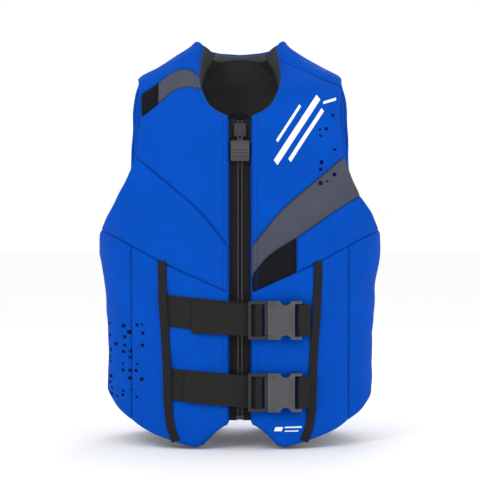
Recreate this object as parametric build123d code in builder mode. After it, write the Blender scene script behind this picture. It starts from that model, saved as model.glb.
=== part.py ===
from build123d import *
from math import copysign, cos, hypot, pi, radians, sin
import os

# A front-zip foam buoyancy vest, closed: two padded fronts, a padded back, thin stretch sides,
# a straight centre zip and two webbing belts with side-release buckles.
# Frame: millimetres, +Z up, the front faces -Y, the wearer's left is +X, Z 0 is the hem's lowest line.

# Body form: one row for each level, giving height, half width, front depth and back depth.
form_levels = [
    (-15, 162, 108, 100),
    (70, 164, 110, 104),
    (170, 167, 112, 104),
    (262, 177, 112, 112),
    (335, 170, 110, 117),
    (395, 159, 104, 114),
    (435, 147, 88, 103),
    (455, 130, 72, 96),
    (468, 104, 60, 89),
    (481, 81, 50, 84),
    (494, 62, 43, 79),
    (508, 50, 39, 74),
]
first_sloping_level = 5
form_points = 20
form_power = 2.4
torso_y = 3.55  # puts the middle of the whole depth at Y 0
reach = 200

# Layers through the wall, measured outwards from the outer face of the shell
shell_in = -3.0
foam_out = -3.3
foam_in = -24.7
lining_out = -25.0
lining_in = -28.0
side_in = -6.0
return_in = -16.0
foam_inset = 4.0
seam_gap = 0.15

# Lines on the half front and half back, as (sideways, up)
zip_edge = 13.5
return_width = 3.0
side_seam_front = 133.0
side_seam_back = 155.0
collar_top = 501.0
neck_half_width = 51.0
neck_back_depth = 60.0
arm_middle = (5.2, 345.0)
arm_oval = (112.0, 164.0)
notch_front = [(0, 33), (14, 30.5), (26, 24), (37, 14.5), (47, 5.5)]
tip_front = [(47, 5.5), (53, 3.4), (62, 4.2)]
hem_front = [(62, 4.2), (80, 9), (115, 21), (141, 36), (157, 51), (167, 68)]
armhole_front = [(179, 261), (156, 295), (140, 325), (126, 364), (122, 400), (124, 432), (129, 457)]
neckline = [(51, 478), (50, 446), (44, 429), (36, 415), (25, 407), (0, 397)]
notch_back = [(0, 72), (10, 66), (17, 54), (23, 34), (28, 14), (33, 5)]
tip_back = [(33, 5), (38, 3.2), (62, 3.2)]
hem_back = [(62, 3.2), (88, 6.8), (113, 15.5), (137, 37), (152, 56), (167, 68)]
armhole_back = [(179, 261), (165, 277), (152, 299), (146, 330), (143, 368), (141, 405),
                (137, 438), (129, 457)]
seam_belly = [(-20, 174), (19, 191), (50, 205), (97, 226), (133, 245), (178, 266), (220, 283)]
seam_chest = [(-20, 214), (17, 248), (43, 280), (85, 318), (128, 354), (180, 396), (220, 428)]
stripe_low = [(-20, 180), (17, 212), (30, 228), (66, 253), (110, 283), (148, 306), (210, 338)]
stripe_split = 68.0
shoulder_high = [(-20, 425), (20, 440), (52, 456), (64, 464), (76, 463), (103, 445), (121, 433),
                 (160, 405), (220, 365)]
shoulder_low = [(-20, 420), (20, 430), (50, 437), (66, 439), (78, 436), (100, 419), (124, 401),
                (160, 376), (220, 336)]
shoulder_split = 101.0
shoulder_seam = [(-20, 505), (20, 489), (61, 470), (105, 450), (128, 441), (160, 424), (220, 395)]
seam_yoke = [(-220, 283), (-150, 307), (-107, 319), (-60, 327), (0, 330), (60, 327), (107, 319),
             (150, 307), (220, 283)]
back_cross_low = [(-170, 100), (-140, 142), (-115, 172), (-98, 189), (-46.5, 227)]
back_cross_high = [(-15.5, 329), (-58, 278), (-111.5, 232)]
back_cross_end = [(-111.5, 232), (-125, 219), (-141, 188), (-156, 148), (-170, 108)]
back_cross_top = [(105, 340), (-46.5, 227)]

# Edge binding under the four hem tips
binding_front = [(44, 9), (47, 3.6), (53, -0.6), (63, 0.4), (80, 5.8), (104, 15)]
binding_back = [(31, 9), (33, 3.2), (39, -0.6), (62, -0.6), (74, 0.7), (100, 6.6), (118, 16.5)]

# Front bands that cover the belts' sewn ends
band_line = [(94, 226), (91, 165), (87, 105), (86, 60), (83, 30), (76, 10)]
band_width = 11.0
band_low = 0.3
band_top = 2.4
tunnel_low = 3.0
tunnel_top = 5.0
tunnel_half = 21.5
tunnel_ramp = 4.0

# Zip: chain, tapes, slider and pull
zip_face = -98.0
tape_thick = 1.6
tape_inner = 3.4
tape_low, tape_high = 34.0, 398.0
chain_low, chain_high = 41.0, 392.0
chain_front, chain_back = -99.6, -94.8
tooth_pitch = 3.0
tooth_height = 1.8
slit = 0.6
rack = 2.2
slider_low, slider_high = 377.0, 393.0
slider_half = 7.0
plate = 1.6
channel_half = 4.2
channel_gap = 0.8
tape_gap = 0.4
pin_y, pin_z = -104.4, 379.2
bore_r, pin_r = 1.2, 1.1
link_half = 3.6
link_low = 372.0
tab_half, tab_low, tab_thick = 11.5, 347.0, 3.6

# Belts and buckles
belt_width = 38.0
belt_low, belt_top = 0.6, 2.4
tail_low, tail_top = 2.8, 4.6
belt_names = ("upper", "lower")
belt_z = {"upper": 156.0, "lower": 69.5}
belt_rise = {"upper": 11.0, "lower": 9.0}
tail_start = {"upper": -57.0, "lower": -66.0}
tail_shift = {"upper": -3.0, "lower": 1.5}
belt_start = -90.0
belt_end = 20.0
buckle_x = 41.0
buckle_tilt = 4.5
buckle_half = 32.0
buckle_tall = 46.0
webbing = 1.8


def outward(level):
    """Unit direction out of the form at a level, as (sideways, up)."""
    if level < first_sloping_level:
        return 1.0, 0.0
    low = form_levels[level - 1]
    high = form_levels[min(level + 1, len(form_levels) - 1)]
    rise, run = high[0] - low[0], high[1] - low[1]
    length = hypot(rise, run)
    return rise / length, -run / length


def form(grow):
    """The closed body form, grown outwards by some millimetres."""
    with BuildPart() as body:
        for level, (z, half, front, back) in enumerate(form_levels):
            side, up = outward(level)
            ring = []
            for step in range(form_points):
                turn = 2 * pi * step / form_points
                c, s = cos(turn), sin(turn)
                depth = (back if s > 0 else front) + grow * side
                x = (half + grow * side) * copysign(abs(c) ** (2 / form_power), c)
                ring.append((x, torso_y + depth * copysign(abs(s) ** (2 / form_power), s)))
            with BuildSketch(Plane.XY.offset(z + grow * up)):
                with BuildLine():
                    Spline(*ring, periodic=True)
                make_face()
        loft(ruled=True)
    return body.part


def surface_y(x, z, grow=0.0):
    """Y of the front of the form at x, z, where its sides are upright."""
    for low, high in zip(form_levels, form_levels[1:]):
        if low[0] <= z <= high[0]:
            share = (z - low[0]) / (high[0] - low[0])
            half = low[1] + share * (high[1] - low[1]) + grow
            front = low[2] + share * (high[2] - low[2]) + grow
            return torso_y - front * (1 - abs(x / half) ** form_power) ** (1 / form_power)
    raise ValueError("height outside the form")


upright = Plane(origin=(0, torso_y, 0), x_dir=(1, 0, 0), z_dir=(0, -1, 0))
front, back = 1, -1


def face_of(*runs):
    """A flat region from runs of points: True is a smooth run, False is straight lines."""
    with BuildSketch() as region:
        with BuildLine():
            for smooth, points in runs:
                if smooth:
                    Spline(*points)
                else:
                    Polyline(*points)
        make_face()
    return region.sketch


def shifted(points, up):
    return [(x, z + up) for x, z in points]


def above(seam):
    """Everything above a seam that runs from side to side."""
    line = shifted(seam, seam_gap)
    return face_of((True, line), (False, [line[-1], (line[-1][0], 560), (line[0][0], 560), line[0]]))


def below(seam):
    """Everything below a seam that runs from side to side."""
    line = shifted(seam, -seam_gap)
    return face_of((True, line), (False, [line[-1], (line[-1][0], -60), (line[0][0], -60), line[0]]))


def between(low_x, high_x):
    return face_of((False, [(low_x, -60), (high_x, -60), (high_x, 560), (low_x, 560), (low_x, -60)]))


def overlap(*regions):
    """What several regions share."""
    with BuildSketch() as shared:
        add(regions[0])
        for region in regions[1:]:
            add(region, mode=Mode.INTERSECT)
    return shared.sketch


def less(region, *others):
    """A region with others taken away."""
    with BuildSketch() as left:
        add(region)
        for other in others:
            add(other, mode=Mode.SUBTRACT)
    return left.sketch


def flipped(region):
    """The same region on the wearer's right."""
    with BuildSketch() as other:
        add(region)
        mirror(about=Plane.YZ, mode=Mode.REPLACE)
    return other.sketch


def inset(region, margin):
    """A region drawn in from its edges, on a straight-sided copy of its outline."""
    with BuildSketch() as smaller:
        with BuildLine():
            outline = region.faces()[0].outer_wire().order_edges()
            corners = [edge @ (step / 6) for edge in outline for step in range(6 if edge.length > 12 else 1)]
            Polyline(*corners, close=True)
        make_face()
        offset(amount=-margin, kind=Kind.ARC, mode=Mode.REPLACE)
    return smaller.sketch


def neck_hole():
    """The oval column that the neck fills, above the shoulders' inner face."""
    with BuildPart() as column:
        with BuildSketch(Plane.XY.offset(415)):
            with Locations((0, torso_y)):
                Ellipse(neck_half_width, neck_back_depth)
        extrude(amount=140)
    return column.part


def arm_hole():
    """The oval passage through both sides that the arms fill."""
    with BuildPart() as passage:
        with BuildSketch(Plane.YZ.offset(-reach)):
            with Locations(arm_middle):
                RectangleRounded(*arm_oval, arm_oval[0] / 2 - 1)
        extrude(amount=2 * reach)
    return passage.part


neck = neck_hole()
arms = arm_hole()
all_parts = {}


def keep(piece, label):
    piece.part.label = label
    all_parts[label] = piece.part


walls = {}


def layer(region, side, out, inn):
    """The part of the wall behind a region, between two layers of the form."""
    if (out, inn) not in walls:
        with BuildPart() as whole:
            add(form(out))
            add(form(inn), mode=Mode.SUBTRACT)
        walls[out, inn] = whole.part
    with BuildPart() as wall:
        with BuildSketch(upright):
            add(region)
        extrude(amount=side * reach)
        add(walls[out, inn], mode=Mode.INTERSECT)
    return wall.part


def sheet(label, *parts, holes=(), floor=False):
    """One soft piece from one or more walls, with the holes and the floor cut where they reach it."""
    with BuildPart() as piece:
        for wall in parts:
            add(wall)
        for hole in holes:
            add(hole, mode=Mode.SUBTRACT)
        if floor:
            with BuildSketch(Plane.XY):
                Rectangle(4 * reach, 4 * reach)
            extrude(amount=-reach, mode=Mode.SUBTRACT)
    keep(piece, label)


# Outlines of the half front and of the whole back
half_front = face_of(
    (True, notch_front), (True, tip_front), (True, hem_front),
    (False, [hem_front[-1], (reach, 68), (reach, 261), armhole_front[0]]),
    (True, armhole_front), (False, [armhole_front[-1], (129, 540), (51, 540), neckline[0]]),
    (True, neckline), (False, [neckline[-1], notch_front[0]]))
half_back = face_of(
    (True, notch_back), (True, tip_back), (True, hem_back),
    (False, [hem_back[-1], (reach, 68), (reach, 261), armhole_back[0]]),
    (True, armhole_back),
    (False, [armhole_back[-1], (129, collar_top), (0, collar_top), notch_back[0]]))
with BuildSketch() as whole_back_sketch:
    add(half_back)
    mirror(about=Plane.YZ)
whole_back = whole_back_sketch.sketch

panel_front = overlap(half_front, between(zip_edge, reach))
chest = overlap(panel_front, above(seam_belly))
belly = overlap(panel_front, below(seam_belly), between(zip_edge, side_seam_front - seam_gap))
zip_side = between(zip_edge, zip_edge + return_width)
back_body = overlap(whole_back, between(-side_seam_back + seam_gap, side_seam_back - seam_gap))
back_top = overlap(whole_back, above(seam_yoke))

# Foam: two slabs in each front, two in the back
foam_area = overlap(half_front, between(zip_edge + return_width + 0.5, reach))
chest_foam = inset(overlap(foam_area, above(seam_belly)), foam_inset)
belly_foam = inset(overlap(foam_area, below(seam_belly), between(0, side_seam_front)), foam_inset)
for name, turn in (("left", lambda r: r), ("right", flipped)):
    sheet(f"foam_chest_{name}", layer(turn(chest_foam), front, foam_out, foam_in), holes=[arms])
    sheet(f"foam_belly_{name}", layer(turn(belly_foam), front, foam_out, foam_in))
sheet("foam_back_yoke", layer(back_top, back, foam_out, foam_in), holes=[neck, arms])
lower_foam = inset(overlap(back_body, below(seam_yoke)), foam_inset)
sheet("foam_back_lower", layer(lower_foam, back, foam_out, foam_in), holes=[arms])


def front_shell(label, region, zip_wall=None):
    """A front panel of the shell, with its edge turned in beside the zip where it reaches it."""
    parts = [layer(region, front, 0.0, shell_in)]
    if zip_wall:
        parts.append(layer(overlap(region, zip_wall), front, 0.0, return_in))
    sheet(label, *parts, holes=[arms])


# Shell of the wearer's left front: chest, grey and black stripe, rib, belly
left_chest = overlap(chest, above(seam_chest), below(shoulder_seam))
left_grey = overlap(chest, below(seam_chest), above(stripe_low))
left_low = overlap(chest, below(stripe_low))
front_shell("shell_chest_left", left_chest, zip_side)
front_shell("stripe_chest_grey", left_grey, zip_side)
front_shell("stripe_chest_black", overlap(left_low, between(0, stripe_split - seam_gap)), zip_side)
front_shell("shell_rib_left", overlap(left_low, between(stripe_split + seam_gap, reach)))
front_shell("shell_belly_left", belly, zip_side)

# Shell of the wearer's right front: chest, shoulder stripe, rib, belly
right_stripe = overlap(chest, below(shoulder_high), above(shoulder_low))
right_chest = overlap(chest, above(seam_chest), below(shoulder_low))
front_shell("shell_chest_right", flipped(right_chest), flipped(zip_side))
front_shell("stripe_shoulder_grey", flipped(overlap(right_stripe, between(0, shoulder_split - seam_gap))))
front_shell("stripe_shoulder_black",
            flipped(overlap(right_stripe, between(shoulder_split + seam_gap, reach))))
front_shell("shell_rib_right", flipped(overlap(chest, below(seam_chest))), flipped(zip_side))
front_shell("shell_belly_right", flipped(belly), flipped(zip_side))

# Shell of the back: a yoke that runs over both shoulders, a crossing stripe, and the panels beside it
sheet(
    "shell_back_yoke",
    layer(back_top, back, 0.0, shell_in),
    layer(overlap(half_front, above(shoulder_seam)), front, 0.0, shell_in),
    layer(flipped(overlap(half_front, above(shoulder_high))), front, 0.0, shell_in),
    holes=[neck, arms])
back_low = overlap(back_body, below(seam_yoke))
crossing_grey = face_of(
    (False, back_cross_top), (False, [back_cross_top[-1], back_cross_high[-1]]),
    (True, back_cross_high), (False, [back_cross_high[0], (-6, 340), back_cross_top[0]]))
crossing_black = face_of(
    (True, back_cross_low), (False, [back_cross_low[-1], back_cross_end[0]]),
    (True, back_cross_end), (False, [back_cross_end[-1], back_cross_low[0]]))
beyond = face_of(
    (True, back_cross_high), (True, back_cross_end),
    (False, [back_cross_end[-1], (-220, 108), (-220, 340), (-6, 340), back_cross_high[0]]))
sheet("stripe_back_grey", layer(overlap(back_low, crossing_grey), back, 0.0, shell_in))
sheet("stripe_back_black", layer(overlap(back_low, crossing_black), back, 0.0, shell_in))
sheet("shell_back_flank", layer(overlap(back_low, beyond), back, 0.0, shell_in), holes=[arms])
back_centre = less(back_low, crossing_grey, crossing_black, beyond)
sheet("shell_back_centre", layer(back_centre, back, 0.0, shell_in), holes=[arms])

# Stretch sides, unpadded, and the lining behind the foam
side_front = overlap(half_front, below(seam_belly), between(side_seam_front + seam_gap, reach))
side_back = overlap(half_back, between(side_seam_back + seam_gap, reach), below(seam_yoke))
lining_front = overlap(panel_front, less(between(0, reach), side_front))
for name, turn in (("left", lambda r: r), ("right", flipped)):
    side_walls = layer(turn(side_front), front, 0.0, side_in), layer(turn(side_back), back, 0.0, side_in)
    sheet(f"shell_side_{name}", *side_walls, holes=[arms])
    sheet(f"lining_front_{name}", layer(turn(lining_front), front, lining_out, lining_in), holes=[arms])
lining_region = less(whole_back, side_back, flipped(side_back))
sheet("lining_back", layer(lining_region, back, lining_out, lining_in), holes=[neck, arms])

# Binding under the hem tips
above_front_tip = [binding_front[-1], (104, 40), (44, 40), binding_front[0]]
tip_region_front = less(face_of((True, binding_front), (False, above_front_tip)),
                        half_front)
above_back_tip = [binding_back[-1], (118, 40), (31, 40), binding_back[0]]
tip_region_back = less(face_of((True, binding_back), (False, above_back_tip)),
                       half_back)
for name, turn in (("left", lambda r: r), ("right", flipped)):
    for place, region, side in (("front", tip_region_front, front), ("back", tip_region_back, back)):
        low = turn(region).faces().sort_by(Axis.Y)[0]
        sheet(f"binding_{place}_{name}", layer(low, side, 0.0, lining_in), floor=True)


def band(name, turn):
    """A sewn band down the front, raised into a tunnel where each belt goes under it."""
    with BuildSketch() as strip:
        with BuildLine() as run:
            Spline(*band_line)
        trace(run.line, band_width)
    strip_region = turn(strip.sketch)
    with BuildPart() as piece:
        add(layer(strip_region, front, band_top, band_low))
        for belt in belt_names:
            low, high = tunnel_range(belt)
            hump = overlap(strip_region, level_strip(low - tunnel_ramp, high + tunnel_ramp))
            add(layer(hump, front, tunnel_top, band_low))
            tunnel = overlap(strip_region, level_strip(low, high))
            add(layer(tunnel, front, tunnel_low, side_in), mode=Mode.SUBTRACT)
    keep(piece, f"band_{name}")


def level_strip(low, high):
    return face_of((False, [(-reach, low), (reach, low), (reach, high), (-reach, high), (-reach, low)]))


def tunnel_range(belt):
    """Heights that the tunnels leave free for a belt, at either band."""
    middle = belt_z[belt] + belt_rise[belt] / 2
    half = tunnel_half + belt_rise[belt] / 2
    return middle - half, middle + half


band("left", lambda r: r)
band("right", flipped)


def block(x_range, y_range, z_range, mode=Mode.ADD):
    """A box between two corners, with Y counted from the middle of the body."""
    sizes = [high - low for low, high in (x_range, y_range, z_range)]
    middle = ((x_range[0] + x_range[1]) / 2, torso_y + (y_range[0] + y_range[1]) / 2,
              (z_range[0] + z_range[1]) / 2)
    with Locations(middle):
        Box(*sizes, mode=mode)


# Zip chain, tapes and end pieces
teeth = int((chain_high - chain_low) / tooth_pitch)
chain_middle = (chain_low + chain_high) / 2
for name, hand in (("left", 1), ("right", -1)):
    with BuildPart() as chain:
        with BuildSketch(upright.offset(-chain_back)):
            with Locations((hand * (rack + tape_inner) / 2, chain_middle)):
                Rectangle(tape_inner - rack, chain_high - chain_low)
            with Locations((hand * (slit + rack) / 2, chain_middle)):
                with GridLocations(0, tooth_pitch, 1, teeth):
                    Rectangle(rack - slit, tooth_height)
        extrude(amount=chain_back - chain_front)
    keep(chain, f"zip_teeth_{name}")
    with BuildPart() as tape:
        block(sorted((hand * tape_inner, hand * zip_edge)), (zip_face, zip_face + tape_thick),
              (tape_low, tape_high))
    keep(tape, f"zip_tape_{name}")
with BuildPart() as stops:
    for hand in (1, -1):
        block(sorted((hand * slit, hand * (tape_inner - 0.1))), (chain_front, chain_back),
              (slider_high + 0.5, slider_high + 3.5))
keep(stops, "zip_top_stops")
with BuildPart() as retainer:
    block((-5, 5), (zip_face - 2.6, zip_face - 0.2), (tape_low + 1, chain_low - 0.5))
    block((-tape_inner + 0.2, tape_inner - 0.2), (zip_face - 0.2, chain_back),
          (tape_low + 1, chain_low - 0.5))
keep(retainer, "zip_box")

# Slider: front and back plates on a thin blade, side flanges either side of the tapes, and a bridge
channel_front = chain_front - channel_gap
channel_back = chain_back + channel_gap
slider_span = (slider_low, slider_high)
with BuildPart() as slider:
    block((-slider_half, slider_half), (channel_front - plate, channel_front), slider_span)
    block((-slider_half, slider_half), (channel_back, channel_back + plate), slider_span)
    block((-slit / 2, slit / 2), (channel_front, channel_back), slider_span)
    for hand in (1, -1):
        flange = sorted((hand * channel_half, hand * slider_half))
        block(flange, (channel_front, zip_face - tape_gap), slider_span)
        block(flange, (zip_face + tape_thick + tape_gap, channel_back), slider_span)
    block((-2, 2), (pin_y - 2.1, channel_front - plate), (pin_z - 2.6, pin_z + 2.6))
    with Locations(Location((0, torso_y + pin_y, pin_z), (0, 90, 0))):
        Cylinder(bore_r, 20, mode=Mode.SUBTRACT)
keep(slider, "zip_slider")

with BuildPart() as link:
    with Locations(Location((0, torso_y + pin_y, pin_z), (0, 90, 0))):
        Cylinder(pin_r, 2 * link_half)
    for hand in (1, -1):
        block(sorted((hand * 2.3, hand * link_half)), (pin_y - 1, pin_y + 1), (link_low, pin_z + 0.9))
    block((-link_half, link_half), (pin_y - 1, pin_y + 1), (link_low, link_low + 2.5))
keep(link, "zip_pull_link")

with BuildPart() as tab:
    block((-tab_half, tab_half), (pin_y - tab_thick / 2 - 0.2, pin_y + tab_thick / 2 - 0.2),
          (tab_low, link_low))
    fillet(tab.edges().filter_by(Axis.Y), 2.5)
    for groove in range(3):
        block((-tab_half + 3, tab_half - 3), (pin_y - tab_thick / 2 - 0.2, pin_y - tab_thick / 2 + 0.4),
              (tab_low + 5 + 4 * groove, tab_low + 6.5 + 4 * groove), mode=Mode.SUBTRACT)
keep(tab, "zip_pull_tab")


def buckle_plane(belt):
    """The buckle's own plane: X along the belt, Y up, Z out of the chest."""
    lean = radians(buckle_tilt)
    return Plane(origin=(buckle_x, surface_y(buckle_x, belt_z[belt]), belt_z[belt]),
                 x_dir=(cos(lean), sin(lean), 0), z_dir=(sin(lean), -cos(lean), 0))


# Buckle sizes in its plane: along the belt, up, and out
frame_out = (5.0, 9.6)
outer_bar, mid_bar, base_bar = (-32.0, -28.5), (-22.5, -15.5), (-12.5, -9.3)
rail = 4.0
mouth = -9.0
socket_out = (5.4, 11.4)
arm_out = (6.1, 10.7)
socket_half, socket_end = 18.5, 20.0
body_out = (3.2, 13.6)
bite_at, bite_r = (12.6, 24.6), 6.8
loop_bar = (28.0, 31.4)
loop_bar_out = (3.8, 7.2)
prong_root, prong_v, prong_r = -3.0, 14.2, 3.2
prong_tip = 17.0
prong_outer = 17.9
rib_half, rib_end = 4.5, 14.0


def slab(plane, along, up, out, mode=Mode.ADD):
    """A box in a buckle's plane, from ranges along, up and out."""
    with BuildSketch(plane.offset(out[0])) as base:
        with Locations(((along[0] + along[1]) / 2, (up[0] + up[1]) / 2)):
            Rectangle(along[1] - along[0], up[1] - up[0])
    extrude(base.sketch, amount=out[1] - out[0], mode=mode)


def female(belt):
    plane = buckle_plane(belt)
    tall = buckle_tall / 2
    with BuildPart() as body:
        slab(plane, (mouth, buckle_half), (-tall, tall), body_out)
        chamfer(body.edges().filter_by(Axis.Z).sort_by(Axis.Y)[:2], 1.6)
        slab(plane, (mouth, socket_end), (-socket_half, socket_half), socket_out, mode=Mode.SUBTRACT)
        slab(plane, (23.5, loop_bar[0]), (-19.6, 19.6), (0, 20), mode=Mode.SUBTRACT)
        slab(plane, (loop_bar[0], buckle_half), (-19.6, 19.6), (loop_bar_out[1], 20), mode=Mode.SUBTRACT)
        slab(plane, (loop_bar[0], buckle_half), (-19.6, 19.6), (0, loop_bar_out[0]), mode=Mode.SUBTRACT)
        slab(plane, (loop_bar[1], buckle_half), (-19.6, 19.6), (0, 20), mode=Mode.SUBTRACT)
        for hand in (1, -1):
            with BuildSketch(plane):
                with Locations((bite_at[0], hand * bite_at[1])):
                    Circle(bite_r)
            extrude(amount=20, mode=Mode.SUBTRACT)
    keep(body, f"{belt}_buckle_socket")


def male(belt):
    plane = buckle_plane(belt)
    tall = buckle_tall / 2
    with BuildPart() as body:
        slab(plane, (outer_bar[0], base_bar[1]), (-tall, tall), frame_out)
        slab(plane, (outer_bar[1], mid_bar[0]), (-tall + rail, tall - rail), frame_out, mode=Mode.SUBTRACT)
        slab(plane, (mid_bar[1], base_bar[0]), (-tall + rail, tall - rail), frame_out, mode=Mode.SUBTRACT)
        slab(plane, (mid_bar[0], mid_bar[1]), (-tall + rail, tall - rail), (7.4, 9.6), mode=Mode.SUBTRACT)
        slab(plane, (base_bar[0], prong_root - prong_r - 0.3), (-prong_outer, prong_outer), arm_out)
        slab(plane, (base_bar[0], rib_end), (-rib_half, rib_half), arm_out)
    keep(body, f"{belt}_buckle_plug")
    for name, hand in (("top", 1), ("bottom", -1)):
        with BuildPart() as prong:
            with BuildSketch(plane.offset(arm_out[0])):
                with Locations((prong_root, hand * prong_v)):
                    Circle(prong_r)
                with BuildLine():
                    Polyline((prong_root, hand * (prong_v - prong_r)), (6, hand * 12.6),
                             (prong_tip, hand * 12.0),
                             (prong_tip, hand * 15.0), (10, hand * prong_outer), (5, hand * 17.0),
                             (prong_root, hand * (prong_v + prong_r)),
                             (prong_root, hand * (prong_v - prong_r)))
                make_face()
            extrude(amount=arm_out[1] - arm_out[0])
        keep(prong, f"{belt}_prong_{name}")


def slanted(start_x, end_x, start_z, end_z, wide):
    """A belt's outline on the front, between two ends at their own heights."""
    half = wide / 2
    return face_of((False, [(start_x, start_z - half), (end_x, end_z - half), (end_x, end_z + half),
                            (start_x, start_z + half), (start_x, start_z - half)]))


def ring(plane, bar, bar_out, clear=0.3):
    """Webbing once around a buckle bar."""
    inner_u = (bar[0] - clear, bar[1] + clear)
    inner_w = (bar_out[0] - clear, bar_out[1] + clear)
    half = belt_width / 2
    slab(plane, (inner_u[0] - webbing, inner_u[1] + webbing), (-half, half),
         (inner_w[0] - webbing, inner_w[1] + webbing))
    slab(plane, inner_u, (-half, half), inner_w, mode=Mode.SUBTRACT)


def belts(belt):
    plane = buckle_plane(belt)
    z, rise = belt_z[belt], belt_rise[belt]
    with BuildPart() as long_run:
        add(layer(slanted(belt_start, belt_end, z + rise, z, belt_width), front, belt_top, belt_low))
    keep(long_run, f"{belt}_belt_long")
    shift = tail_shift[belt]
    with BuildPart() as tail:
        ring(plane, mid_bar, (5.0, 7.4))
        slab(plane, (-31, mid_bar[0] - 0.4), (-belt_width / 2, belt_width / 2), (2.9, 4.5))
        run = slanted(tail_start[belt], buckle_x - 28, z + rise * 0.55 + shift, z, belt_width)
        add(layer(run, front, tail_top, tail_low))
    keep(tail, f"{belt}_belt_tail")
    with BuildPart() as short_run:
        ring(plane, loop_bar, loop_bar_out)
        leave = plane.from_local_coords((loop_bar[1] + 1.2, 0, 2.5))
        path = [(leave.X, leave.Y), (79, surface_y(79, z) - 1.5), (89, surface_y(89, z) - 1.5)]
        with BuildSketch(Plane.XY.offset(z - belt_width / 2)):
            with BuildLine() as run_line:
                Polyline(*path)
            trace(run_line.line, webbing)
        extrude(amount=belt_width)
    keep(short_run, f"{belt}_belt_short")


for belt_name in belt_names:
    female(belt_name)
    male(belt_name)
    belts(belt_name)

os.makedirs("parts", exist_ok=True)
for label, part in all_parts.items():
    export_step(part, f"parts/{label}.step")
print(len(all_parts), "nodes")
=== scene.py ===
import bpy
import bmesh
import numpy as np
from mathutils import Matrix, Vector


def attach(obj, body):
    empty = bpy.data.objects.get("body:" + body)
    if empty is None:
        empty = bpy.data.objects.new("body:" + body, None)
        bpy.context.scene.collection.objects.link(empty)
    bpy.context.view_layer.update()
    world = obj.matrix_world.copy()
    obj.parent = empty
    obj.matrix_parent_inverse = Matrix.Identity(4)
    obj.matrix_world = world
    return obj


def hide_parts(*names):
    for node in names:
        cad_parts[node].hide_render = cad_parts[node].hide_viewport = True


# Foam buoyancy vest. Design numbers are in millimetres, and go into the meshes in metres.
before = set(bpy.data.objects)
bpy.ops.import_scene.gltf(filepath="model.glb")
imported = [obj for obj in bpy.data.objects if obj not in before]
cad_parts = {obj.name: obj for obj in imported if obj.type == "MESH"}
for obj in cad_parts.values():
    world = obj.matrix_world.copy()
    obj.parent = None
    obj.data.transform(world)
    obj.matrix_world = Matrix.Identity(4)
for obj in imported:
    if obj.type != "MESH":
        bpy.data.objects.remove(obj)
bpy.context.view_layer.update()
mm = 0.001
rng = np.random.default_rng(11)

# the body form and its two coordinates: round (0 centre back, 1 the side, 2 centre front) and height
vestForm = {
    "height": [-15, 70, 170, 262, 335, 395, 435, 455, 468, 481, 494, 508],
    "half": [162, 164, 167, 177, 170, 159, 147, 130, 104, 81, 62, 50],
    "front": [108, 110, 112, 112, 110, 104, 88, 72, 60, 50, 43, 39],
    "back": [100, 104, 104, 112, 117, 114, 103, 96, 89, 84, 79, 74],
    "power": 2.4,
    "middle": 3.55,
    "quarterGirth": 222,
    "widthToDepth": 1.5,
}


def smoothThrough(x, xs, ys):
    # monotone cubic through a table: each slope is the weighted harmonic mean of its neighbours' slopes
    xs, ys = np.asarray(xs, float), np.asarray(ys, float)
    step = np.diff(xs)
    rise = np.diff(ys) / step
    w1, w2 = 2 * step[1:] + step[:-1], step[1:] + 2 * step[:-1]
    same = rise[:-1] * rise[1:] > 0
    before, after = np.where(same, rise[:-1], 1), np.where(same, rise[1:], 1)
    inner = np.where(same, (w1 + w2) / (w1 / before + w2 / after), 0)
    slope = np.r_[rise[0], inner, rise[-1]]
    i = np.clip(np.searchsorted(xs, x) - 1, 0, len(xs) - 2)
    t = (x - xs[i]) / step[i]
    rises = ys[i] * (1 + 2 * t) * (1 - t) ** 2 + ys[i + 1] * t * t * (3 - 2 * t)
    return rises + step[i] * (slope[i] * t * (1 - t) ** 2 - slope[i + 1] * t * t * (1 - t))


# quarter of the oval, as sin and cos to the power 2 / power, against the length along it
quarter = np.linspace(0, np.pi / 2, 6001)
ovalAcross = np.sin(quarter) ** (2 / vestForm["power"])
ovalOut = np.cos(quarter) ** (2 / vestForm["power"])
ovalAlong = np.r_[0, np.cumsum(np.hypot(vestForm["widthToDepth"] * np.diff(ovalAcross), np.diff(ovalOut)))]
ovalAlong /= ovalAlong[-1]


def formPoint(around, height):
    # the oval's width and depth at a height, times its across and out at that share of its quarter
    near = np.abs(around)
    behind = near <= 1
    share = np.where(behind, near, 2 - near)  # below zero past the centre front
    half = smoothThrough(height, vestForm["height"], vestForm["half"])
    backDepth = smoothThrough(height, vestForm["height"], vestForm["back"])
    frontDepth = smoothThrough(height, vestForm["height"], vestForm["front"])
    x = np.sign(around) * np.sign(share) * half * np.interp(np.abs(share), ovalAlong, ovalAcross)
    y = np.where(behind, backDepth, -frontDepth) * np.interp(np.abs(share), ovalAlong, ovalOut)
    return np.stack([x, vestForm["middle"] + y, height + 0 * x], -1)


def unit(v):
    return v / np.maximum(np.linalg.norm(v, axis=-1, keepdims=True), 1e-9)


def formNormal(around, height):
    # cross product of the two central differences, turned to point away from the body's axis
    dq, dz = 0.006, 1.0
    acrossStep = formPoint(around + dq, height) - formPoint(around - dq, height)
    upStep = formPoint(around, height + dz) - formPoint(around, height - dz)
    n = unit(np.cross(acrossStep, upStep))
    out = formPoint(around, height) - np.array([0, vestForm["middle"], 0])
    out[..., 2] = 0
    return n * np.where((n * out).sum(-1, keepdims=True) < 0, -1, 1)


def lifted(around, height, lift):
    around, height = np.asarray(around, float), np.asarray(height, float)
    return formPoint(around, height) + formNormal(around, height) * np.asarray(lift)[..., None]


# seam lines: curves through a few points, then laid on the form
def runAlong(line):
    # distance from the start at each point
    return np.r_[0, np.cumsum(np.linalg.norm(np.diff(line, axis=0), axis=1))]


def evenly(line, count):
    along = runAlong(line)
    want = np.linspace(0, along[-1], count)
    return np.stack([np.interp(want, along, c) for c in line.T], -1)


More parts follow.
